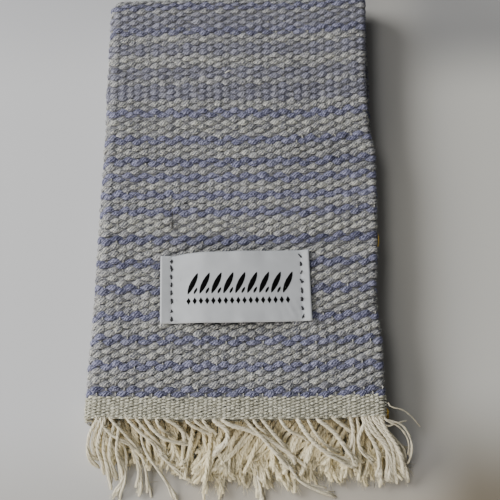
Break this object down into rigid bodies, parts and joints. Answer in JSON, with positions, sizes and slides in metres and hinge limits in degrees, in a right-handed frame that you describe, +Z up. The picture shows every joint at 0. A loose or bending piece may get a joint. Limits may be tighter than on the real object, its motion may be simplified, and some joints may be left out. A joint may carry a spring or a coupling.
{
  "type": "folded woven dishcloth with a fringe",
  "caption": "Hand-woven cotton dishcloth, folded flat into a thick striped pad with a fringe along one end and a plain sewn label.",
  "frame": {"origin": "bottom centre of the whole folded cloth, on the surface that it lies on", "axes": "+Z up through the layers, +Y along the warp from the fringed ends to the folded end, +X along the weft"},
  "size_m": [0.0994, 0.1822, 0.017],
  "materials": {
    "cotton": "thick weft-faced plain weave of soft grey-cream and lavender-blue cotton in narrow bands, with a fine cream hem",
    "warp_ends": "loose two-ply cream cotton warp ends",
    "ribbon": "smooth off-white woven ribbon"
  },
  "bodies": {
    "root": {"cloth": "cotton", "fringe_front": "warp_ends", "fringe_back": "warp_ends", "label": "ribbon"}
  },
  "joints": []
}
